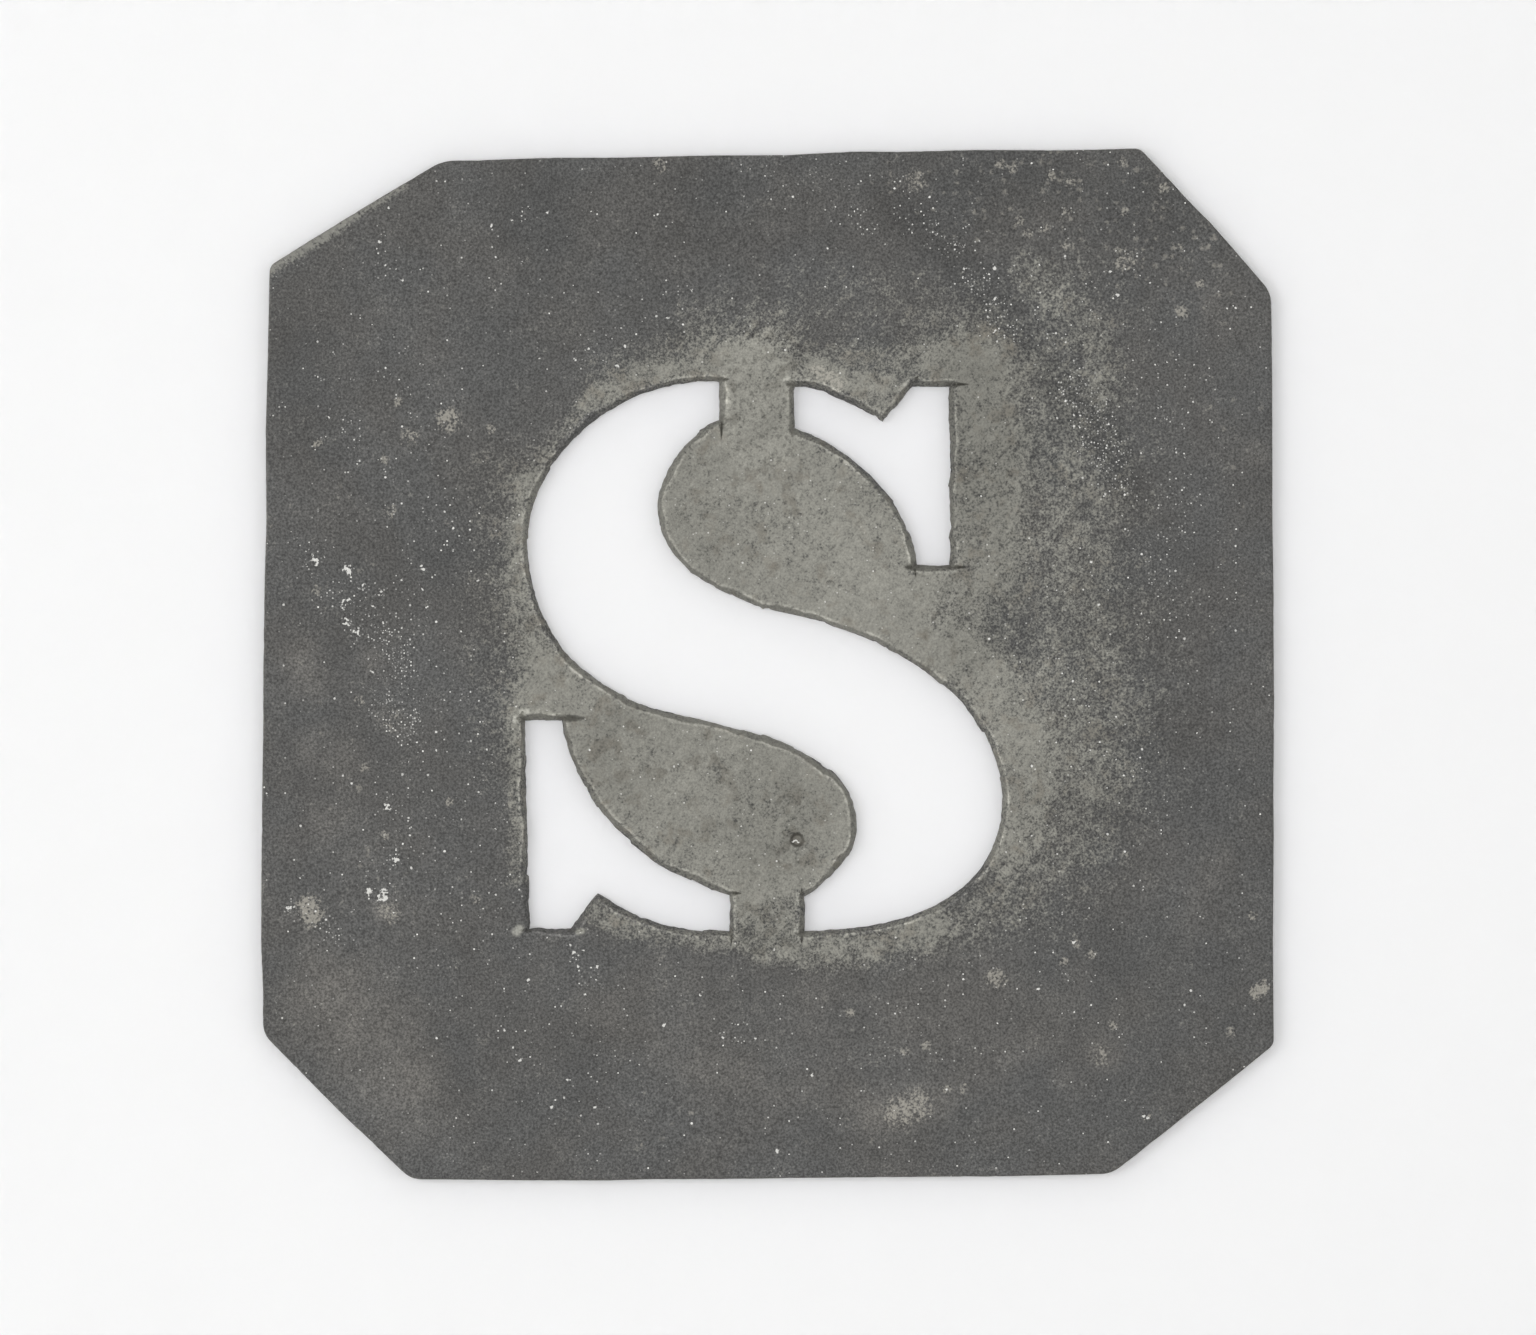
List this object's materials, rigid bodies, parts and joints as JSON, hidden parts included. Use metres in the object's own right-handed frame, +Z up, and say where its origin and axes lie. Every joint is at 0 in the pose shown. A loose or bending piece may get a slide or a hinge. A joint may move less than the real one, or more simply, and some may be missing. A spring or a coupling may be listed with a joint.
{
  "type": "letter stencil",
  "caption": "Flat sheet-metal letter stencil with clipped corners, cut through with a capital S whose counters are held by ties, for painting, pouncing or brushing a letter.",
  "frame": {"origin": "middle of the sheet's bounding box on its underside, the face that lies on the work", "axes": "+Z up out of the upper face, +Y towards the letter's top, +X towards the letter's right"},
  "size_m": [0.1012, 0.1032, 0.001],
  "materials": {
    "zinc": "dull grey weathered zinc, rubbed paler round the letter"
  },
  "bodies": {
    "root": {"stencil_plate": "zinc"}
  },
  "joints": []
}
